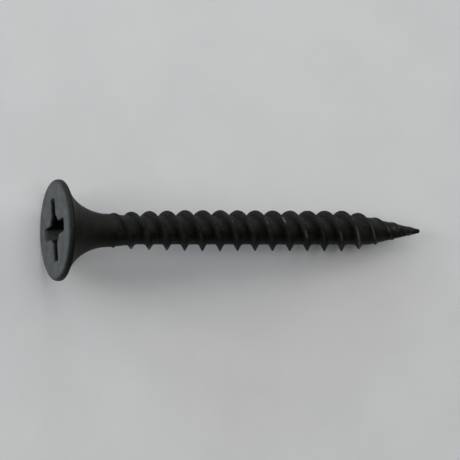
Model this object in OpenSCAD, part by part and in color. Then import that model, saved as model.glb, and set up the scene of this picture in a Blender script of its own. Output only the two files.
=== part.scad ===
// Bugle-head drywall screw with a cross recess, a twin-start fine thread and a sharp gimlet point.
//
// The screw is one piece of steel: the head is cold-formed and the thread is rolled. Its regions are
// separate nodes that meet on plane faces, and the two thread ridges stand on the body's surface.
//
// Frame: +X runs along the screw from the head to the point, +Z is up, and the origin is the centre
// of the head's flat top. All sizes are in millimetres and all angles are in degrees.

/* [Overall] */
// Length from the flat top of the head to the tip
length = 32; // [28:1:60]
// Diameter of the head across its rim
head_d = 8.2; // [7.2:0.1:10]
// Diameter of the plain neck under the head
neck_d = 2.7; // [2.5:0.02:3.2]

/* [Head] */
// Radius that rounds the edge of the flat top
face_edge_r = 0.3; // [0.2:0.05:0.5]
// Length of the straight rim behind the rounded edge
rim_land = 0.2; // [0.1:0.05:0.6]
// Angle between the underside of the rim and the screw's axis
flare_angle = 62; // [52:1:70]
// Radius of the hollow curve that runs from the underside into the neck
flare_r = 4.3; // [3:0.1:5.2]

/* [Cross recess] */
// Distance across two opposite wings of the recess at its mouth
recess_span = 5.2; // [4.2:0.1:5.8]
// Width of each wing
wing_w = 1.1; // [0.8:0.05:1.2]
// Depth of the wings
recess_depth = 2.4; // [2:0.1:2.9]
// Slope of the wings' outer ends, from the screw's axis
wing_slope = 26.5; // [20:0.5:28]
// Diameter of the central pocket at the mouth
pocket_d = 2.5; // [2:0.1:3]
// Diameter of the central pocket at the bottom of the wings
pocket_floor_d = 1.7; // [1.4:0.1:2]
// Depth of the conical bottom below the wings
recess_bottom = 0.4; // [0.2:0.1:0.6]
// How far the recess is turned about the screw's axis
recess_turn = -12; // [-45:1:45]

/* [Shank] */
// Length of the plain neck between the flare and the taper
neck_l = 0.2; // [0.1:0.1:6]
// Length of the taper from the neck down to the thread root
taper_l = 2; // [1:0.1:4]
// Diameter at the thread root
root_d = 2.28; // [1.9:0.02:2.5]

/* [Thread] */
// Diameter over the thread crests
thread_d = 3.38; // [3:0.02:3.9]
// Distance between neighbouring ridges along the axis
pitch = 1.535; // [1.1:0.005:2]
// Width of a ridge at its foot
ridge_foot_w = 0.72; // [0.5:0.02:0.9]
// Width of a ridge at its crest
ridge_crest_w = 0.1; // [0.06:0.02:0.2]
// Length over which a ridge rises to its full height
run_in = 7; // [2:0.5:9]
// Angle about the axis, from +Y towards +Z, at which the first ridge begins
thread_turn = 149; // [0:1:359]

/* [Point] */
// Length of the cone that the crests follow down to the tip
crest_point_l = 6.2; // [5:0.1:8]
// Length of the solid cone at the point
point_l = 4.6; // [4:0.1:7]
// Diameter of the small flat at the tip
tip_d = 0.3; // [0.1:0.02:0.4]
// Distance from the tip at which the ridges end
ridge_stop = 0.8; // [0.4:0.1:2]

/* [Hidden] */
$fn = 96;

PHOSPHATE = [0.13, 0.13, 0.13];
FACE_GREY = [0.3, 0.31, 0.32];

// The thread has two starts, and each start's ridge is a node
STARTS = 2;
// Straight segments that stand for each curved stretch of the head's outline
EDGE_STEPS = 8;
FLARE_STEPS = 24;
// Least height of the straight underside between the rim and the hollow curve
UNDERSIDE = 0.05;
// Cross-sections along one turn of a ridge
RIDGE_STEPS = 40;
// How deep a ridge's foot is rooted below the body's surface
ROOTING = 0.04;
// How far a cutting shape runs past the face that it cuts
PAST = 0.5;
// Share of the pocket's floor that stays flat at the bottom of its cone
FLOOR_FLAT = 1 / 3;

head_r = head_d / 2;
neck_r = neck_d / 2;
root_r = root_d / 2;
thread_r = thread_d / 2;
tip_r = tip_d / 2;
lead = pitch * STARTS;

// Stations along the axis, from the head's top
rim_end = face_edge_r + rim_land;
flare_turn = min(flare_angle, acos(1 - (head_r - neck_r - UNDERSIDE) / flare_r));
flare_top_r = neck_r + flare_r * (1 - cos(flare_turn));
underside_l = (head_r - flare_top_r) / tan(flare_angle);
flare_end = rim_end + underside_l + flare_r * sin(flare_turn);
neck_end = flare_end + neck_l;
core_start = neck_end + taper_l;
core_end = length - point_l;
ridge_start = neck_end;
ridge_end = length - ridge_stop;

// The body's radius under the thread at a distance x from the head's top
function body_r(x) =
    x < neck_end ? neck_r :
    x < core_start ? neck_r + (root_r - neck_r) * (x - neck_end) / taper_l :
    x < core_end ? root_r :
    tip_r + (root_r - tip_r) * (length - x) / point_l;

// The crest's radius: it rises out of the neck's surface, stays level, then follows the point's cone
function rise(x) = sqrt(min(1, max(0, (x - ridge_start) / run_in)));
function crest_level(x) = neck_r + (thread_r - neck_r) * rise(x);
function crest_cone(x) = tip_r + (thread_r - tip_r) * min(1, (length - x) / crest_point_l);
function crest_r(x) = max(body_r(x), min(crest_level(x), crest_cone(x)));

// One corner of a ridge's cross-section: side is -1 or 1, and share is 0 at the foot, 1 at the crest
function ridge_half_w(share) = (ridge_foot_w + (ridge_crest_w - ridge_foot_w) * share) / 2;
function ridge_corner(x, angle, side, share) =
    let(station = x + side * ridge_half_w(share))
    let(r = share == 0 ? body_r(station) - ROOTING : crest_r(x))
    [station, r * cos(angle), r * sin(angle)];

// Solids are drawn with +Z along the screw and turned onto +X here
module along_x() {
    rotate([0, 90, 0])
        children();
}

module head_blank() {
    edge_r = face_edge_r;
    rounded_edge = [
        for (i = [0 : EDGE_STEPS])
            let(a = 90 * i / EDGE_STEPS)
            [head_r - edge_r + edge_r * sin(a), edge_r * (1 - cos(a))]
    ];
    flare = [
        for (i = [0 : FLARE_STEPS])
            let(a = flare_turn * (1 - i / FLARE_STEPS))
            [neck_r + flare_r * (1 - cos(a)), flare_end - flare_r * sin(a)]
    ];
    rotate_extrude()
        polygon(concat([[0, 0]], rounded_edge, [[head_r, rim_end]], flare, [[0, flare_end]]));
}

// Two crossed slots whose outer ends slope inwards
module recess_wings() {
    mouth_r = recess_span / 2;
    slope = tan(wing_slope);
    intersection() {
        union() {
            for (a = [0, 90])
                rotate([0, 0, a])
                    translate([-mouth_r - PAST, -wing_w / 2, -PAST])
                        cube([recess_span + 2 * PAST, wing_w, recess_depth + PAST]);
        }
        translate([0, 0, -PAST])
            cylinder(
                h = recess_depth + PAST,
                r1 = mouth_r + PAST * slope,
                r2 = mouth_r - recess_depth * slope
            );
    }
}

// The wider pocket where the wings meet, with a conical bottom
module recess_pocket() {
    taper = (pocket_d - pocket_floor_d) / 2 / recess_depth;
    translate([0, 0, -PAST])
        cylinder(h = recess_depth + PAST, r1 = pocket_d / 2 + PAST * taper, r2 = pocket_floor_d / 2);
    translate([0, 0, recess_depth])
        cylinder(h = recess_bottom, r1 = pocket_floor_d / 2, r2 = pocket_floor_d / 2 * FLOOR_FLAT);
}

module head() {
    color(FACE_GREY)
        rotate([recess_turn, 0, 0])
            along_x()
                difference() {
                    head_blank();
                    recess_wings();
                    recess_pocket();
                }
}

module neck() {
    color(PHOSPHATE)
        translate([flare_end, 0, 0])
            along_x() {
                union() {
                    cylinder(h = neck_l, r = neck_r);
                    translate([0, 0, neck_l])
                        cylinder(h = taper_l, r1 = neck_r, r2 = root_r);
                }
            }
}

module threaded_core() {
    color(PHOSPHATE)
        translate([core_start, 0, 0])
            along_x()
                cylinder(h = core_end - core_start, r = root_r);
}

module point() {
    color(PHOSPHATE)
        translate([core_end, 0, 0])
            along_x()
                cylinder(h = point_l, r1 = root_r, r2 = tip_r);
}

// A ridge is swept along its helix: four corners at every step, joined by triangles
module ridge(start) {
    steps = ceil((ridge_end - ridge_start) / lead * RIDGE_STEPS);
    turned = thread_turn + 360 * start / STARTS;
    sections = [
        for (i = [0 : steps])
            let(x = ridge_start + (ridge_end - ridge_start) * i / steps)
            let(angle = turned + 360 * (x - ridge_start) / lead)
            each [
                ridge_corner(x, angle, -1, 0),
                ridge_corner(x, angle, -1, 1),
                ridge_corner(x, angle, 1, 1),
                ridge_corner(x, angle, 1, 0)
            ]
    ];
    sides = [
        for (i = [0 : steps - 1])
            for (k = [0 : 3])
                let(a = 4 * i + k, b = 4 * i + (k + 1) % 4)
                each [[a, b, b + 4], [a, b + 4, a + 4]]
    ];
    last = 4 * steps;
    ends = [
        [0, 2, 1], [0, 3, 2],
        [last, last + 1, last + 2], [last, last + 2, last + 3]
    ];
    polyhedron(points = sections, faces = concat(sides, ends));
}

module thread_start_1() {
    color(PHOSPHATE)
        ridge(0);
}

module thread_start_2() {
    color(PHOSPHATE)
        ridge(1);
}

head();
neck();
threaded_core();
point();
thread_start_1();
thread_start_2();
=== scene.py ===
"""A black phosphated bugle-head screw, lying on a pale floor under soft studio light."""

import math

import bpy
import numpy as np
from mathutils import Matrix, Vector


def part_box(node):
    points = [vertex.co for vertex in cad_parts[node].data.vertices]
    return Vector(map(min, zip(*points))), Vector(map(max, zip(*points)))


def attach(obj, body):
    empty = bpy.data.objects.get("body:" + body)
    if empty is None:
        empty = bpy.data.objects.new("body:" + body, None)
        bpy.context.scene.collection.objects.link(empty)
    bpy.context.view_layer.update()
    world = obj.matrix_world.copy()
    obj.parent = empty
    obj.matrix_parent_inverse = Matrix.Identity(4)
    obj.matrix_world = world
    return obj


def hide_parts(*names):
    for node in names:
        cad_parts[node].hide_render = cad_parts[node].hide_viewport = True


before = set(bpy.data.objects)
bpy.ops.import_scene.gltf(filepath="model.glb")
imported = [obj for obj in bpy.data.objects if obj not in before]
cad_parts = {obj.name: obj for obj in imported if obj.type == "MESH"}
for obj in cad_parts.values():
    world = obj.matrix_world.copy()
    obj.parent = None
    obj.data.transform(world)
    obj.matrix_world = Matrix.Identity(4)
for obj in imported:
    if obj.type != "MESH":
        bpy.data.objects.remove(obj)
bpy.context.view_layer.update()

MM = 0.001

# ---------------------------------------------------------------- sizes

# Taken from the CAD nodes: the screw's axis is +X, and the head's flat top is at x = 0
HEAD_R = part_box("head")[1].z
FLARE_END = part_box("head")[1].x
NECK_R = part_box("neck")[1].z
CORE_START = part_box("threaded_core")[0].x
CORE_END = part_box("threaded_core")[1].x
ROOT_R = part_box("threaded_core")[1].z
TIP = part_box("point")[1].x
THREAD_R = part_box("thread_start_1")[1].z

# Sizes of the same design that a node's box doesn't give
FACE_EDGE_R = 0.3 * MM
RIM_LAND = 0.2 * MM
RIM_END = FACE_EDGE_R + RIM_LAND
FLARE_ANGLE = math.radians(62)
FLARE_R = 4.3 * MM
NECK_L = 0.2 * MM
TIP_R = 0.15 * MM

RECESS_SPAN = 5.2 * MM
WING_W = 1.1 * MM
WING_SLOPE = math.radians(26.5)
RECESS_DEPTH = 2.4 * MM
POCKET_D = 2.5 * MM
POCKET_FLOOR_D = 1.7 * MM
RECESS_BOTTOM = 0.4 * MM
RECESS_TURN = math.radians(-12)

LEAD = 3.07 * MM
STARTS = 2
THREAD_TURN = math.radians(149)
FOOT_HALF_W = 0.36 * MM
RUN_IN = 7.0 * MM
CREST_POINT_L = 6.2 * MM
RIDGE_START = FLARE_END + NECK_L
RIDGE_END = TIP - 0.8 * MM

# Softer shapes that only the visual pieces have
RIM_CORNER_R = 0.1 * MM
MOUTH_R = 0.05 * MM
WALL_DRAFT = 0.015
FLOOR_EDGE = 0.03 * MM
TIP_ROUND = 0.07 * MM
CREST_HALF_W = 0.04 * MM

# Mesh resolution
AROUND = 320
ANGLES = np.arange(AROUND) * 2 * math.pi / AROUND
FLARE_STEPS = 40
EDGE_STEPS = 12
CORNER_STEPS = 6
MOUTH_STEPS = 5
WALL_STEPS = 15
RING_STEP = 0.1 * MM
POINT_RINGS = 90
TIP_STEPS = 8
STEPS_PER_TURN = 120

# ---------------------------------------------------------------- small helpers

# Numbers that turn a cell of the noise's lattice into a value from 0 to HASH_TOP
CELL_PRIMES = (73856093, 19349663, 83492791)
SEED_PRIME = 2654435761
MIX_PRIME = 1274126177
HASH_TOP = 0x7FFFFFFF

# A formed surface wanders by these depths in waves of these sizes, but not close to the axis
WAVE_DEPTH, WAVE_SIZE, WAVE_SEED = 0.006 * MM, 1.3 * MM, 11
RIPPLE_DEPTH, RIPPLE_SIZE, RIPPLE_SEED = 0.003 * MM, 0.45 * MM, 12
FORGED_R = (0.05 * MM, 0.5 * MM)


def lattice_noise(points, size, seed):
    """Smooth noise from -1 to 1 at points in metres, with features about size across."""
    place = points / size
    cell = np.floor(place).astype(np.int64)
    within = place - cell
    within = within * within * (3 - 2 * within)
    total = np.zeros(len(points))
    for corner in range(8):
        step = np.array([corner & 1, corner >> 1 & 1, corner >> 2 & 1])
        mixed = np.bitwise_xor.reduce((cell + step) * CELL_PRIMES, axis=1) ^ (seed * SEED_PRIME)
        mixed = ((mixed ^ (mixed >> 13)) * MIX_PRIME) & HASH_TOP
        weight = np.prod(np.where(step, within, 1 - within), axis=1)
        total += weight * (mixed / (HASH_TOP // 2) - 1)
    return total


def smooth_step(value, low, high):
    """0 up to low, 1 from high, and a smooth rise between them."""
    t = np.clip((value - low) / (high - low), 0, 1)
    return t * t * (3 - 2 * t)


def hump(value, start, full, fade, end):
    """0 up to start, 1 from full to fade, and 0 again from end."""
    return smooth_step(value, start, full) * (1 - smooth_step(value, fade, end))


def about_axis(x, radius, angle):
    """Points at x along the screw's axis, at a radius from it and an angle from +Y towards +Z."""
    y, z = radius * np.cos(angle), radius * np.sin(angle)
    return np.stack([np.broadcast_to(x, y.shape), y, z], axis=-1)


def lathe_rings(outline):
    """Rings about the axis from (x, radius) pairs."""
    x, radius = np.array(outline).T[:, :, None]
    return about_axis(x, radius, ANGLES)


def forged(rings):
    """Moves points in and out by a few micrometres, as on a formed surface, but never past the rim."""
    points = rings.reshape(-1, 3)
    radius = np.hypot(points[:, 1], points[:, 2])
    away = np.c_[np.zeros(len(points)), points[:, 1:]] / np.maximum(radius, 1e-9)[:, None]
    depth = WAVE_DEPTH * lattice_noise(points, WAVE_SIZE, WAVE_SEED)
    depth += RIPPLE_DEPTH * lattice_noise(points, RIPPLE_SIZE, RIPPLE_SEED)
    depth *= smooth_step(radius, *FORGED_R)
    depth = np.minimum(depth, HEAD_R - radius)
    return (points + away * depth[:, None]).reshape(rings.shape)


def grid_mesh(name, rings, tones, sharp_rings=(), sharp_columns=()):
    """A closed mesh from rings of points, each joined to the next, with a cap at both ends.

    tones holds a number for each point under each name. The edges along sharp_rings and
    sharp_columns are sharp, and the rest is smooth.
    """
    rows, columns = rings.shape[:2]
    points = list(map(tuple, rings.reshape(-1, 3)))
    faces = []
    for row in range(rows - 1):
        for column in range(columns):
            here, beside = row * columns + column, row * columns + (column + 1) % columns
            faces.append((here, beside, beside + columns, here + columns))
    for row, turn in ((0, -1), (rows - 1, 1)):
        centre = len(points)
        points.append(tuple(rings[row].mean(0)))
        for column in range(columns):
            pair = (row * columns + column, row * columns + (column + 1) % columns)
            faces.append((centre,) + pair[::turn])
    mesh = bpy.data.meshes.new(name)
    mesh.from_pydata(points, [], faces)
    mesh.update()
    mesh.polygons.foreach_set("use_smooth", [True] * len(mesh.polygons))

    sharp_rows = {row % rows for row in sharp_rings}
    flags = []
    for edge in mesh.edges:
        a, b = edge.vertices
        along_ring = a // columns == b // columns and a // columns in sharp_rows
        along_column = a % columns == b % columns and a % columns in sharp_columns
        flags.append(along_ring or along_column)
    mesh.attributes.new("sharp_edge", "BOOLEAN", "EDGE").data.foreach_set("value", flags)

    for key, values in tones.items():
        padded = np.zeros(len(points), np.float32)
        padded[: rows * columns] = values.reshape(-1)
        mesh.attributes.new(key, "FLOAT", "POINT").data.foreach_set("value", padded)
    thing = bpy.data.objects.new(name, mesh)
    bpy.context.scene.collection.objects.link(thing)
    return thing


# ---------------------------------------------------------------- the head

# Where the rings of the flat top lie, as shares of the way from its edge to the recess
FACE_SHARES = (0.03, 0.07, 0.11, 0.15, 0.19, 0.23, 0.27, 0.31, 0.35, 0.55, 0.75, 0.92, 1.0)
# Where extra rings lie on the straight underside, as shares of it, and on the rim
UNDERSIDE_SHARES = (0.33, 0.66, 0.93)
RIM_SHARE = 0.1
# Radius and depth of the rings in the recess's conical bottom, as shares of the whole
BOTTOM_RINGS = ((0.9, 0.02), (0.75, 0.2), (0.5, 0.6), (0.3, 0.9), (0.12, 1.0))
# Shares of the points of an eighth of the recess's outline at which a wing's end and its wall stop
END_SHARE = 0.18
WALL_SHARE = 0.72
# How often the outline of the recess is smoothed
ROUNDING_PASSES = 4

# The rim is worn from the face's edge to RIM_WORN_X, fully so in its outermost RIM_WORN_W
RIM_WEAR = 0.6
RIM_WORN_W = 0.08 * MM
RIM_WORN_X = 0.75 * MM
# From this share of the way to the recess on, the flat top is worn as well
MOUTH_WORN_SHARE = 0.9
# Painted shade: how dark the face's edge is, and the underside, whose painted shade fades over these
# distances from the top
FACE_EDGE_SHADE = 0.92
UNDERSIDE_SHADE = 0.9
UNDERSIDE_FADE = (0.8 * MM, 1.9 * MM)
# Painted light and shade in the recess: it begins this pale next to the face, and painted shade darkens
# its walls over these depths
RECESS_TONE = 0.7
RECESS_FADE = (0.05 * MM, 0.35 * MM)
# The ends of its wings, which face the axis and lie beyond its pocket, are kept paler by painted light and
# escape most of that painted shade
WING_END_ESCAPE = 0.75
WING_END_FACING = (0.6, 0.9)
WING_END_R = (1.3 * MM, 1.5 * MM)
# Centre and reach of the one painted glint on the face, a pale spot in the steel's colour
FACE_GLINT_R = 3.32 * MM
FACE_GLINT_ANGLE = math.radians(64)
FACE_GLINT_REACH = 0.2 * MM


def head_outline():
    """(x, radius) from the end of the flare, round the rim, to the edge of the flat top."""
    outline = []
    for i in range(FLARE_STEPS + 1):
        a = FLARE_ANGLE * i / FLARE_STEPS
        outline.append((FLARE_END - FLARE_R * math.sin(a), NECK_R + FLARE_R * (1 - math.cos(a))))
    # the corner between the underside and the rim is rounded
    tangent = RIM_CORNER_R * math.tan(FLARE_ANGLE / 2)
    centre = (RIM_END - tangent, HEAD_R - RIM_CORNER_R)
    under = (RIM_END + tangent * math.cos(FLARE_ANGLE), HEAD_R - tangent * math.sin(FLARE_ANGLE))
    last = outline[-1]
    for share in UNDERSIDE_SHARES:
        outline.append(tuple(last[k] + share * (under[k] - last[k]) for k in (0, 1)))
    for i in range(CORNER_STEPS + 1):
        a = FLARE_ANGLE * (1 - i / CORNER_STEPS)
        outline.append((centre[0] + RIM_CORNER_R * math.sin(a), centre[1] + RIM_CORNER_R * math.cos(a)))
    outline.append((FACE_EDGE_R + RIM_SHARE * RIM_LAND, HEAD_R))
    for i in range(EDGE_STEPS + 1):
        a = math.pi / 2 * i / EDGE_STEPS
        outline.append((FACE_EDGE_R * (1 - math.sin(a)), HEAD_R - FACE_EDGE_R * (1 - math.cos(a))))
    return outline


def recess_loop(depth, grow=0.0):
    """The recess's outline at a depth, as (y, z) points about the axis, grown outwards by grow."""
    half_w = WING_W / 2 - WALL_DRAFT * depth
    end_r = RECESS_SPAN / 2 - depth * math.tan(WING_SLOPE)
    pocket_r = POCKET_D / 2 - (POCKET_D - POCKET_FLOOR_D) / 2 * depth / RECESS_DEPTH
    wall_start = math.sqrt(end_r**2 - half_w**2)
    wall_end = math.sqrt(pocket_r**2 - half_w**2)

    def eighth(share):
        """A point on a wing's round end, then on its straight wall, then on the pocket."""
        if share < END_SHARE:
            a = share / END_SHARE * math.asin(half_w / end_r)
            return end_r * math.cos(a), end_r * math.sin(a)
        if share < WALL_SHARE:
            along = (share - END_SHARE) / (WALL_SHARE - END_SHARE)
            return wall_start + (wall_end - wall_start) * along, half_w
        along = (share - WALL_SHARE) / (1 - WALL_SHARE)
        first = math.asin(half_w / pocket_r)
        a = first + (math.pi / 4 - first) * along
        return pocket_r * math.cos(a), pocket_r * math.sin(a)

    count = AROUND // 8
    quarter = [eighth(k / count) for k in range(count)]
    quarter += [eighth(1 - k / count)[::-1] for k in range(count)]
    loop = []
    for _ in range(4):
        loop += quarter
        quarter = [(-z, y) for y, z in quarter]
    loop = np.array(loop)
    # the corners are rounded: every point moves to a weighted mean of itself and its neighbours
    for _ in range(ROUNDING_PASSES):
        loop = 0.25 * np.roll(loop, 1, axis=0) + 0.5 * loop + 0.25 * np.roll(loop, -1, axis=0)
    return loop + grow * outwards(loop)


def outwards(loop):
    """Unit normals of a closed loop, pointing out of it."""
    along = np.roll(loop, -1, axis=0) - np.roll(loop, 1, axis=0)
    normal = np.c_[along[:, 1], -along[:, 0]]
    return normal / np.linalg.norm(normal, axis=1)[:, None]


def turned(loop, x):
    """A loop of (y, z) points turned with the recess and placed at x."""
    cos, sin = math.cos(RECESS_TURN), math.sin(RECESS_TURN)
    y, z = loop[:, 0], loop[:, 1]
    return np.c_[np.full(len(loop), x), cos * y - sin * z, sin * y + cos * z]


def head_rings():
    """Rings from the flare, over the rim and the flat top, down to the bottom of the recess.

    Also gives how worn each ring is, and the number of the first ring on the recess's walls.
    """
    # the outer rings are turned with the recess, so that each column of points stays in line
    outer = np.array([turned(ring[:, 1:], ring[0, 0]) for ring in lathe_rings(head_outline())])
    flat_edge = outer[-1]
    rings = list(forged(outer))
    worn = [0.0] * len(rings)
    mouth = turned(recess_loop(0, MOUTH_R), 0)
    for share in FACE_SHARES:
        rings.append(flat_edge + (mouth - flat_edge) * share)
        worn.append(1.0 if share > MOUTH_WORN_SHARE else 0.0)
    for i in range(1, MOUTH_STEPS + 1):
        a = math.pi / 2 * i / MOUTH_STEPS
        rings.append(turned(recess_loop(0, MOUTH_R * (1 - math.sin(a))), MOUTH_R * (1 - math.cos(a))))
        worn.append(1 - i / MOUTH_STEPS)
    first_inside = len(rings)
    for depth in np.linspace(MOUTH_R, RECESS_DEPTH - FLOOR_EDGE, WALL_STEPS + 1)[1:]:
        rings.append(turned(recess_loop(depth), depth))
    rings.append(turned(recess_loop(RECESS_DEPTH, -FLOOR_EDGE), RECESS_DEPTH))
    circle = POCKET_FLOOR_D / 2 * np.c_[np.cos(ANGLES), np.sin(ANGLES)]
    for share, deeper in BOTTOM_RINGS:
        rings.append(turned(circle * share, RECESS_DEPTH + RECESS_BOTTOM * deeper))
    worn += [0.0] * (len(rings) - len(worn))
    return np.array(rings), np.array(worn), first_inside


def head_tones(rings, worn, first_inside):
    """How worn the head is at each point, how pale its painted light makes it, how dark its painted shade,
    and how much steel and painted glint show.
    """
    x = rings[:, :, 0]
    radius = np.hypot(rings[:, :, 1], rings[:, :, 2])
    inside = slice(first_inside, None)
    on_rim = smooth_step(radius, HEAD_R - FACE_EDGE_R, HEAD_R - RIM_WORN_W) * (x < RIM_WORN_X)
    worn = np.maximum(worn[:, None], RIM_WEAR * on_rim)
    # painted light makes the face pale, painted shade darkens it towards its edge, and painted shade makes
    # the underside darkest next to the rim
    on_top = 1 - smooth_step(x, FACE_EDGE_R, FACE_EDGE_R + 0.5 * RIM_LAND)
    face = (1 - FACE_EDGE_SHADE * smooth_step(radius, HEAD_R - FACE_EDGE_R, HEAD_R)) * on_top
    deep = UNDERSIDE_SHADE * (1 - on_top) * (1 - smooth_step(x, *UNDERSIDE_FADE))
    # painted shade darkens the recess's walls, and painted light keeps the sloping ends of its wings paler
    loop = recess_loop(0)
    facing_axis = np.sum(outwards(loop) * loop, axis=1) / np.linalg.norm(loop, axis=1)
    wing_end = smooth_step(facing_axis, *WING_END_FACING) * smooth_step(radius[inside], *WING_END_R)
    deep[inside] = smooth_step(x[inside], *RECESS_FADE) * (1 - WING_END_ESCAPE * wing_end)
    face[inside] = RECESS_TONE * (1 - deep[inside])
    # painted highlight: a glint on the face, laid in as a spot of the steel's colour
    glint = about_axis(0, np.float64(FACE_GLINT_R), FACE_GLINT_ANGLE)
    bare_and_glint = 1 - smooth_step(np.linalg.norm(rings - glint, axis=2), FACE_GLINT_REACH / 4, FACE_GLINT_REACH)
    return {"worn": worn, "face": face, "deep": deep, "bare_and_glint": bare_and_glint}


def head():
    """The head, with its flare, rim, flat top and recess."""
    rings, worn, first_inside = head_rings()
    tones = head_tones(rings, worn, first_inside)
    # the rings run towards the face, so each is reversed to turn the mesh's faces outwards
    tones = {key: values[:, ::-1] for key, values in tones.items()}
    return grid_mesh("screw_head", rings[:, ::-1], tones, sharp_rings=(0,))


# ---------------------------------------------------------------- the body under the thread

# The bends between the body's tapers are softened over TAPER_BLEND to either side, but not at the
# tip: the weights are those of samples at shares of that distance
TAPER_BLEND = 0.25 * MM
BLEND_FADE = (0.3 * MM, 1.5 * MM)
BLEND_WEIGHTS = ((-1, 0.15), (-0.5, 0.2), (0, 0.3), (0.5, 0.2), (1, 0.15))
# Painted shade lies in the groove beside a crest: where that starts, is full, fades and ends along the
# axis
SHADE_ON_HEAD_SIDE = (-0.75 * MM, -0.42 * MM, -0.3 * MM, -0.14 * MM)
SHADE_ON_POINT_SIDE = (0.1 * MM, 0.18 * MM, 0.25 * MM, 0.42 * MM)
POINT_SIDE_SHARE = 0.3
# The painted shade lies only beside crests of some height above the body
SHADED_HEIGHT = (0.2 * MM, 0.5 * MM)
# Near the tip the wear fades and there are dark pits and rubbed specks: size, seed, range and strength
ROUGH_X = (TIP - 4.4 * MM, TIP - 3 * MM)
WEAR_LOST = 0.7
PIT_SIZE, PIT_SEED, PIT_RANGE, PIT_STRENGTH = 0.42 * MM, 61, (0.05, 0.5), 0.9
SPECK_SIZE, SPECK_SEED, SPECK_RANGE, SPECK_STRENGTH = 0.28 * MM, 71, (0.45, 0.8), 0.5
# Wear of the point itself, over this length
TIP_WEAR = 0.5
TIP_WEAR_L = 1.2 * MM
# Least distance between the cone's last ring and the round tip
TIP_GAP = 0.01 * MM


def body_r(x):
    """The body's radius under the thread, with the tapers run into each other."""
    x = np.asarray(x, float)
    stations = [0, RIDGE_START, CORE_START, CORE_END, TIP]
    radii = [NECK_R, NECK_R, ROOT_R, ROOT_R, TIP_R]
    blend = TAPER_BLEND * smooth_step(TIP - x, *BLEND_FADE)
    total = np.zeros(x.shape)
    for offset, weight in BLEND_WEIGHTS:
        total += weight * np.interp(x + offset * blend, stations, radii)
    return total


def crest_r(x):
    """The crests' radius: it rises out of the neck, stays level, then follows a cone to the tip."""
    rise = np.sqrt(np.clip((x - RIDGE_START) / RUN_IN, 0, 1))
    level = NECK_R + (THREAD_R - NECK_R) * rise
    cone = TIP_R + (THREAD_R - TIP_R) * np.minimum(1, (TIP - x) / CREST_POINT_L)
    return np.maximum(body_r(x), np.minimum(level, cone))


def groove_shade(side, height):
    """How much painted shade darkens the coat at an axial distance side from a crest that stands height
    above the body.
    """
    shade = hump(side, *SHADE_ON_HEAD_SIDE) + POINT_SIDE_SHARE * hump(side, *SHADE_ON_POINT_SIDE)
    return shade * smooth_step(height, *SHADED_HEIGHT)


def body_shade(rings):
    """The same painted groove shade on the body, between the ridges."""
    x = rings[:, :, 0]
    angle = np.arctan2(rings[:, :, 2], rings[:, :, 1])
    spacing = LEAD / STARTS
    past_crest = x - RIDGE_START - (angle - THREAD_TURN) / (2 * math.pi) * LEAD
    side = (past_crest + spacing / 2) % spacing - spacing / 2
    return groove_shade(side, crest_r(x) - body_r(x))


def rough_point(points, worn, shade_and_pits):
    """Tones near the tip, where the rolled thread fades out in dark pits and small rubbed specks; the
    painted groove shade passed in is kept wherever it is stronger than the pits.
    """
    near_tip = smooth_step(points[..., 0], *ROUGH_X)
    flat = points.reshape(-1, 3)
    pits = smooth_step(lattice_noise(flat, PIT_SIZE, PIT_SEED), *PIT_RANGE).reshape(worn.shape)
    specks = smooth_step(lattice_noise(flat, SPECK_SIZE, SPECK_SEED), *SPECK_RANGE).reshape(worn.shape)
    return {
        "worn": worn * (1 - WEAR_LOST * near_tip),
        "shade_and_pits": np.maximum(shade_and_pits, PIT_STRENGTH * pits * near_tip),
        "bare_and_glint": SPECK_STRENGTH * specks * near_tip,
    }


def shank_stretch(name, first, last):
    """The plain body from one station to another."""
    count = max(4, int((last - first) / RING_STEP))
    x = np.linspace(first, last, count + 1)
    rings = forged(lathe_rings(np.c_[x, body_r(x)]))
    return grid_mesh(name, rings, {"shade_and_pits": body_shade(rings)}, sharp_rings=(0, -1))


def point():
    """The solid cone of the point, with a small round tip."""
    x = np.linspace(CORE_END, TIP, POINT_RINGS)
    x = x[x < TIP - TIP_ROUND - TIP_GAP]
    outline = list(zip(x, body_r(x)))
    round_start_r = float(body_r(TIP - TIP_ROUND))
    for i in range(TIP_STEPS):
        a = math.pi / 2 * i / TIP_STEPS
        outline.append((TIP - TIP_ROUND * (1 - math.sin(a)), round_start_r * math.cos(a)))
    rings = forged(lathe_rings(outline))
    worn = TIP_WEAR * smooth_step(rings[:, :, 0], TIP - TIP_WEAR_L, TIP)
    return grid_mesh("screw_point", rings, rough_point(rings, worn, body_shade(rings)), sharp_rings=(0,))


# ---------------------------------------------------------------- the thread

# How far from the ridge's middle line its cross-section has points, from the foot to the crest
HALF_SIDE = np.array([0.52, 0.46, 0.42, 0.38, 0.34, 0.29, 0.22, 0.15, 0.1, 0.07, 0.045, 0.02]) * MM
SIDE = np.concatenate([HALF_SIDE, [0], -HALF_SIDE[::-1]])
# Where the ridge has no height its foot has this share of its full width, which it reaches at FULL_H
LOW_FOOT_SHARE = 0.45
FULL_H = 0.5 * MM
# Widths of the soft bends at the foot and the crest, as shares of the flank's width
FOOT_BEND = 0.09
CREST_BEND = 0.05
# How far below the body's surface a ridge's hidden underside lies, and the two edges of its foot
ROOTING = 0.12 * MM
EDGE_SINK = 0.004 * MM
AXIS_CLEAR = 0.01 * MM

# The crest wanders and is nicked, and the flanks are uneven: depth, size across and seed
WANDER_DEPTH, WANDER_SIZE, WANDER_SEED = 0.012 * MM, 0.9 * MM, 31
NICK_DEPTH, NICK_SIZE, NICK_SEED = 0.03 * MM, 0.35 * MM, 41
FLANK_DEPTH, FLANK_SIZE, FLANK_SEED = 0.008 * MM, 0.5 * MM, 51
NICK_RANGE = (0.45, 0.9)
# Heights of the ridge over which its crest becomes uneven, and over which it becomes worn
UNEVEN_HEIGHT = (0.02 * MM, 0.25 * MM)
WORN_HEIGHT = (0.04 * MM, 0.2 * MM)
# Share of the height above which a point belongs to the crest
CREST_SHARE = 0.8

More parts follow.
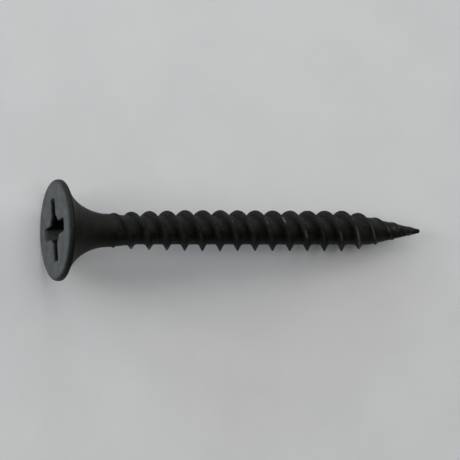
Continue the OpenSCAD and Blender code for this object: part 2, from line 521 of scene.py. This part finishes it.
# Spots on the crests rubbed to bare metal: station (mm), angle (degrees), reach (mm) and strength
RUBBED = [
    (6.4, 158, 0.7, 0.6),
    (7.95, 158, 0.6, 0.6),
    (9.5, 158, 0.5, 0.5),
    (17.85, 64, 0.2, 0.4),
    (19.35, 58, 0.45, 1.0),
    (21.2, 100, 0.4, 0.6),
    (24.3, 105, 0.5, 0.6),
    (26.0, 118, 1.5, 0.75),
    (27.35, 100, 1.1, 0.6),
]
# Each spot is rubbed fully within this share of its reach
RUBBED_CORE = 0.3


def soft_ramp(t, foot, crest):
    """0 below t = 0 and 1 above t = 1, with a soft bend of width foot and crest at each end."""
    low = foot * np.logaddexp(0, t / foot)
    high = crest * np.logaddexp(0, (t - 1) / crest)
    return np.clip(low - high, 0, None)


def ridge_share(height):
    """How far up a ridge of this height each point of its cross-section is, from 0 to 1."""
    risen = smooth_step(height, 0, FULL_H)[:, None]
    foot = FOOT_HALF_W * (LOW_FOOT_SHARE + (1 - LOW_FOOT_SHARE) * risen)
    share = soft_ramp((foot - np.abs(SIDE)) / (foot - CREST_HALF_W), FOOT_BEND, CREST_BEND)
    share = share / share.max(axis=1, keepdims=True)
    share[:, [0, -1]] = 0
    return share


def rolled_height(x, angle, start):
    """The ridge's height above the body, where its crest wanders a little and has nicks."""
    height = crest_r(x) - body_r(x)
    crest_line = about_axis(x, crest_r(x), angle)
    wander = WANDER_DEPTH * lattice_noise(crest_line, WANDER_SIZE, WANDER_SEED + start)
    nicked = smooth_step(lattice_noise(crest_line, NICK_SIZE, NICK_SEED + start), *NICK_RANGE)
    return height + (wander - NICK_DEPTH * nicked) * smooth_step(height, *UNEVEN_HEIGHT)


def ridge_tones(rings, x, angle, height, on_crest):
    """How worn the ridge is, how dark its painted groove shade and pits, and how rubbed through, where its
    last two columns are the hidden underside.
    """
    hidden = np.zeros((len(x), 2))
    worn = np.concatenate([on_crest, hidden], axis=1)
    worn = worn * smooth_step(height, *WORN_HEIGHT)[:, None]
    shade_and_pits = np.concatenate([groove_shade(SIDE[None, :], height[:, None]), hidden], axis=1)
    tones = rough_point(rings, worn, shade_and_pits)
    for station, degrees, reach, strength in RUBBED:
        across = THREAD_R * np.sin((angle - math.radians(degrees)) / 2) * 2
        away = np.hypot(x - station * MM, across)
        spot = 1 - smooth_step(away, RUBBED_CORE * reach * MM, reach * MM)
        tones["bare_and_glint"] += strength * spot[:, None] * worn
    return tones


def ridge(start):
    """One helical ridge: a rounded crest, straight flanks and a foot that runs into the body."""
    steps = int((RIDGE_END - RIDGE_START) / LEAD * STEPS_PER_TURN)
    x = np.linspace(RIDGE_START, RIDGE_END, steps + 1)
    angle = THREAD_TURN + 2 * math.pi * start / STARTS + 2 * math.pi * (x - RIDGE_START) / LEAD
    turn = angle[:, None]
    share = ridge_share(crest_r(x) - body_r(x))
    on_crest = smooth_step(share, CREST_SHARE, 1.0)
    height = rolled_height(x, angle, start)
    rise = height[:, None] * share

    station = x[:, None] + SIDE
    noise_place = about_axis(station, rise, turn)
    noise_place[:, :, 2] += x[:, None]
    uneven = lattice_noise(noise_place.reshape(-1, 3), FLANK_SIZE, FLANK_SEED + start)
    flank = FLANK_DEPTH * uneven.reshape(station.shape)
    base = body_r(np.minimum(station, TIP))
    surface = forged(about_axis(station, base + rise + flank * share * (1 - on_crest), turn))

    # the two edges of the foot sink just below the body, and the underside lies deeper
    edge_r = np.hypot(surface[:, [0, -1], 1], surface[:, [0, -1], 2])
    surface[:, [0, -1], 1:] *= ((edge_r - EDGE_SINK) / edge_r)[:, :, None]
    underside_r = np.maximum(base[:, [-2, 1]] - ROOTING, AXIS_CLEAR)
    underside = about_axis(station[:, [-2, 1]], underside_r, turn)
    rings = np.concatenate([surface, underside], axis=1)
    tones = ridge_tones(rings, x, angle, height, on_crest)
    # the foot's edges are sharp, so that the hidden faces don't bend the shading of the flanks
    return grid_mesh(f"screw_thread_{start + 1}", rings, tones, sharp_columns=(0, len(SIDE) - 1))


# ---------------------------------------------------------------- materials

HEAD_DARK, HEAD_LIGHT = (0.0045, 0.0044, 0.0036), (0.0097, 0.0094, 0.0077)
# Painted light: the pale grey of the flat top and the recess's mouth, standing in for the grazing sheen of
# the light from the head's side
FACE_TONE = (0.079, 0.087, 0.091)
SHANK_DARK, SHANK_LIGHT = (0.001, 0.001, 0.0008), (0.0155, 0.015, 0.0118)
# the black of the painted shade on the head's underside and in its recess
PAINTED_SHADE_BLACK = (0.001, 0.001, 0.001)
# the black of the painted groove shade beside the crests and of the pits near the tip
SHADE_AND_PIT_BLACK = (0.0006, 0.0006, 0.0005)
WORN_GREY = (0.013, 0.0125, 0.011)
# the steel of rubbed spots, also the colour of the painted glint on the face
BARE_STEEL_AND_GLINT = (0.2, 0.2, 0.19)
PAPER_DARK, PAPER_LIGHT = (0.78, 0.79, 0.81), (0.81, 0.82, 0.84)

# Sizes across of the coat's and the paper's features
CLOUD = 0.9 * MM
GRAIN = 0.16 * MM
CRYSTAL = 0.045 * MM
SPECK = 0.2 * MM
PATCH = 0.12 * MM
PAPER_CLOUD = 6 * MM
PAPER_GRAIN = 0.3 * MM

# How strongly the tones show in the coat's colour
SHADE_AND_PIT_MIX = 0.9
WORN_MIX = 0.5
SPECK_MIX = 0.5
FACE_PALE, FACE_DEEP = 1.2, 0.6
# Roughness of the coat in its grain's dips and tops, and how much smoother bare metal is
COAT_ROUGHNESS = (0.46, 0.64)
BARE_POLISH = 0.16
BARE_METALLIC = 0.7
COAT_SPECULAR = 0.13
COAT_BUMP = 0.04 * MM
PAPER_ROUGHNESS = 0.85
PAPER_SPECULAR = 0.2
PAPER_BUMP = 0.02 * MM


class Nodes:
    """Adds nodes to a material and links them."""

    def __init__(self, name):
        self.material = bpy.data.materials.new(name)
        self.material.use_nodes = True
        self.tree = self.material.node_tree
        self.shader = self.tree.nodes["Principled BSDF"]

    def put(self, socket, value):
        """Links another node's output to a socket, or sets the socket to a plain value."""
        if isinstance(value, bpy.types.NodeSocket):
            self.tree.links.new(value, socket)
        else:
            socket.default_value = value

    def add(self, kind, **inputs):
        """A new node, with the inputs named as in Blender but with _ for a space."""
        node = self.tree.nodes.new(kind)
        for key, value in inputs.items():
            self.put(node.inputs[key.replace("_", " ")], value)
        return node

    def noise(self, size, detail=3.0, roughness=0.55):
        """Noise from 0 to 1 over the object's own coordinates, with features about size across."""
        place = self.add("ShaderNodeTexCoord").outputs["Object"]
        node = self.add("ShaderNodeTexNoise", Vector=place, Detail=detail, Roughness=roughness)
        node.inputs["Scale"].default_value = 1 / size
        return node.outputs["Fac"]

    def span(self, value, low, high, to_low=0.0, to_high=1.0):
        """Moves smoothly from to_low to to_high as the value goes from low to high."""
        node = self.add(
            "ShaderNodeMapRange", Value=value, From_Min=low, From_Max=high, To_Min=to_low, To_Max=to_high
        )
        node.interpolation_type = "SMOOTHSTEP"
        return node.outputs["Result"]

    def maths(self, operation, a, b):
        node = self.add("ShaderNodeMath")
        node.operation = operation
        self.put(node.inputs[0], a)
        self.put(node.inputs[1], b)
        return node.outputs[0]

    def scaled(self, value, factor):
        return self.maths("MULTIPLY", value, factor)

    def mix(self, factor, a, b):
        """Colour a where the factor is 0, and b where it is 1."""
        node = self.add("ShaderNodeMix")
        node.data_type = "RGBA"
        self.put(node.inputs[0], factor)
        colours = [socket for socket in node.inputs if socket.type == "RGBA"]
        for socket, value in zip(colours, (a, b)):
            self.put(socket, (*value, 1) if isinstance(value, tuple) else value)
        return [socket for socket in node.outputs if socket.type == "RGBA"][0]

    def attribute(self, name):
        node = self.add("ShaderNodeAttribute")
        node.attribute_name = name
        return node.outputs["Fac"]


def phosphate(name, dark, light, face_tone=None):
    """Black phosphate on steel: a matte crystalline coat, rubbed through to the steel in specks on its
    edges, and with painted shade, painted light and a painted glint where the mesh's tones ask for them.
    """
    n = Nodes(name)
    cloud = n.noise(CLOUD, detail=2)
    grain = n.noise(GRAIN, detail=4, roughness=0.65)
    crystal = n.noise(CRYSTAL, detail=2, roughness=0.6)
    tone = n.maths("ADD", n.scaled(cloud, 0.4), n.scaled(grain, 0.6))
    colour = n.mix(n.span(tone, 0.4, 0.6), dark, light)
    if face_tone:
        deeper, pale = (tuple(factor * c for c in face_tone) for factor in (FACE_DEEP, FACE_PALE))
        # painted light makes the face and the recess's mouth pale, and painted shade then blackens the
        # underside and the recess
        colour = n.mix(n.attribute("face"), colour, n.mix(n.span(tone, 0.35, 0.65), deeper, pale))
        colour = n.mix(n.attribute("deep"), colour, PAINTED_SHADE_BLACK)
    else:
        # painted shade beside the crests, and dark pits near the tip
        colour = n.mix(n.scaled(n.attribute("shade_and_pits"), SHADE_AND_PIT_MIX), colour, SHADE_AND_PIT_BLACK)
        colour = n.mix(n.scaled(n.attribute("worn"), WORN_MIX), colour, WORN_GREY)
    # steel shows in small specks where the coat is worn, and in broken patches where it is rubbed through
    # and where the face's glint is painted
    speck = n.span(n.noise(SPECK, roughness=0.6), 0.62, 0.74)
    speck = n.scaled(n.maths("MULTIPLY", speck, n.attribute("worn")), SPECK_MIX)
    patch = n.span(n.noise(PATCH, roughness=0.7), 0.4, 0.6, to_low=0.1)
    bare_and_glint = n.maths("MAXIMUM", speck, n.maths("MULTIPLY", n.attribute("bare_and_glint"), patch))
    n.put(n.shader.inputs["Base Color"], n.mix(bare_and_glint, colour, BARE_STEEL_AND_GLINT))
    rough = n.span(grain, 0.3, 0.7, *COAT_ROUGHNESS)
    rough = n.maths("SUBTRACT", rough, n.scaled(bare_and_glint, BARE_POLISH))
    n.put(n.shader.inputs["Roughness"], rough)
    n.put(n.shader.inputs["Metallic"], n.scaled(bare_and_glint, BARE_METALLIC))
    n.put(n.shader.inputs["Specular IOR Level"], COAT_SPECULAR)
    height = n.maths("ADD", n.scaled(grain, 0.7), n.scaled(crystal, 0.3))
    bump = n.add("ShaderNodeBump", Height=height, Strength=1.0, Distance=COAT_BUMP)
    n.put(n.shader.inputs["Normal"], bump.outputs["Normal"])
    return n.material


def floor_paper():
    """Smooth pale paper with faint clouds."""
    n = Nodes("pale_paper")
    cloud = n.span(n.noise(PAPER_CLOUD), 0.3, 0.7)
    n.put(n.shader.inputs["Base Color"], n.mix(cloud, PAPER_DARK, PAPER_LIGHT))
    n.put(n.shader.inputs["Roughness"], PAPER_ROUGHNESS)
    n.put(n.shader.inputs["Specular IOR Level"], PAPER_SPECULAR)
    grain = n.noise(PAPER_GRAIN, detail=2)
    bump = n.add("ShaderNodeBump", Height=grain, Strength=0.12, Distance=PAPER_BUMP)
    n.put(n.shader.inputs["Normal"], bump.outputs["Normal"])
    return n.material


# ---------------------------------------------------------------- build the screw

HEAD_COAT = phosphate("head_phosphate", HEAD_DARK, HEAD_LIGHT, FACE_TONE)
SHANK_COAT = phosphate("shank_phosphate", SHANK_DARK, SHANK_LIGHT)

PIECES = [
    (head(), "head", HEAD_COAT, "head_phosphate"),
    (shank_stretch("screw_neck", FLARE_END, CORE_START), "neck", SHANK_COAT, "shank_phosphate"),
    (shank_stretch("screw_root", CORE_START, CORE_END), "threaded_core", SHANK_COAT, "shank_phosphate"),
    (point(), "point", SHANK_COAT, "shank_phosphate"),
    (ridge(0), "thread_start_1", SHANK_COAT, "shank_phosphate"),
    (ridge(1), "thread_start_2", SHANK_COAT, "shank_phosphate"),
]
for piece, node, coat, slot in PIECES:
    piece.data.materials.append(coat)
    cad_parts[node].data.materials.clear()
    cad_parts[node].data.materials.append(coat)
    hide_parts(node)
    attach(piece, "root")

# ---------------------------------------------------------------- the floor

FLOOR_HALF = 0.4
FLOOR_CELLS = 24


def resting_line():
    """A point (x, z) and a slope: the line under the screw that touches its rim and its thread."""
    points = []
    for piece, *_ in PIECES:
        place = np.empty(len(piece.data.vertices) * 3)
        piece.data.vertices.foreach_get("co", place)
        points.append(place.reshape(-1, 3)[:, [0, 2]])
    points = np.concatenate(points)
    on_head = points[points[:, 0] < FLARE_END]
    beyond = points[points[:, 0] > FLARE_END]
    slope = 0.0
    # the rim's lowest point depends on the slope, so the two are settled in turn
    for _ in range(4):
        touch = on_head[np.argmin(on_head[:, 1] - slope * on_head[:, 0])]
        slope = float(np.min((beyond[:, 1] - touch[1]) / (beyond[:, 0] - touch[0])))
    return touch, slope


def build_floor():
    """A plain floor, tilted so that the straight screw lies on its rim and its thread."""
    touch, slope = resting_line()
    line = np.linspace(-FLOOR_HALF, FLOOR_HALF, FLOOR_CELLS + 1)
    points = []
    for y in line:
        for x in TIP / 2 + line:
            points.append((x, y, touch[1] + slope * (x - touch[0])))
    faces = []
    row = FLOOR_CELLS + 1
    for j in range(FLOOR_CELLS):
        for i in range(FLOOR_CELLS):
            corner = j * row + i
            faces.append((corner, corner + 1, corner + row + 1, corner + row))
    mesh = bpy.data.meshes.new("studio_floor")
    mesh.from_pydata(points, [], faces)
    mesh.update()
    floor = bpy.data.objects.new("studio_floor", mesh)
    bpy.context.scene.collection.objects.link(floor)
    floor.data.materials.append(floor_paper())


build_floor()

# ---------------------------------------------------------------- camera and light

# The camera looks down on the screw from the head's side
VIEW_FROM_SQUARE = math.radians(20.3)
VIEW_DISTANCE = 0.276
VIEW_CENTRE = Vector((15.09 * MM, 0.056 * MM, 0))
VIEW_ROLL = math.radians(0.15)
LENS = 263.3
SENSOR = 36.0
CLIP_START, CLIP_END = 0.01, 20.0

# Name, place, side, power in watts and colour of each square light
LIGHTS = [
    ("back_low_softbox", (0.016, 0.44, 0.02), 0.18, 0.8, (0.78, 0.9, 1.0)),
    ("back_softbox", (0.016, 0.34, 0.28), 0.32, 0.38, (1.0, 0.99, 0.94)),
    ("left_softbox", (-0.33, 0.3, 0.04), 0.18, 0.72, (0.82, 0.93, 1.0)),
    ("head_softbox", (-0.42, 0.08, 0.12), 0.2, 0.86, (1.0, 0.99, 0.96)),
    ("right_softbox", (0.36, 0.25, 0.2), 0.25, 0.54, (1.0, 0.98, 0.93)),
    ("overhead_softbox", (0.016, 0.06, 0.45), 0.22, 0.38, (1.0, 0.98, 0.94)),
]
LIGHT_TARGET = Vector((TIP / 2, 0, 0))
LIGHT_UP = Vector((0.3, 0.2, 1))
WORLD_COLOUR = (0.97, 0.98, 1.0, 1)
WORLD_STRENGTH = 0.1


def aim(thing, place, target, up):
    """Puts a camera or light at a place, looking at a target."""
    forward = (target - place).normalized()
    right = forward.cross(up).normalized()
    above = right.cross(forward)
    thing.matrix_world = Matrix.Translation(place) @ Matrix((right, above, -forward)).transposed().to_4x4()


def build_camera():
    data = bpy.data.cameras.new("camera")
    data.lens = LENS
    data.sensor_width = SENSOR
    data.clip_start = CLIP_START
    data.clip_end = CLIP_END
    camera = bpy.data.objects.new("camera", data)
    bpy.context.scene.collection.objects.link(camera)
    away = Vector((-math.sin(VIEW_FROM_SQUARE), 0, math.cos(VIEW_FROM_SQUARE)))
    up = Matrix.Rotation(VIEW_ROLL, 3, away) @ Vector((0, 1, 0))
    aim(camera, VIEW_CENTRE + VIEW_DISTANCE * away, VIEW_CENTRE, up)
    bpy.context.scene.camera = camera


def build_lights():
    for name, place, side, power, colour in LIGHTS:
        data = bpy.data.lights.new(name, "AREA")
        data.shape = "SQUARE"
        data.size = side
        data.energy = power
        data.color = colour
        lamp = bpy.data.objects.new(name, data)
        bpy.context.scene.collection.objects.link(lamp)
        aim(lamp, Vector(place), LIGHT_TARGET, LIGHT_UP)
    world = bpy.data.worlds.new("studio")
    world.use_nodes = True
    world.node_tree.nodes["Background"].inputs["Color"].default_value = WORLD_COLOUR
    world.node_tree.nodes["Background"].inputs["Strength"].default_value = WORLD_STRENGTH
    bpy.context.scene.world = world
    bpy.context.scene.view_settings.view_transform = "Standard"


build_camera()
build_lights()
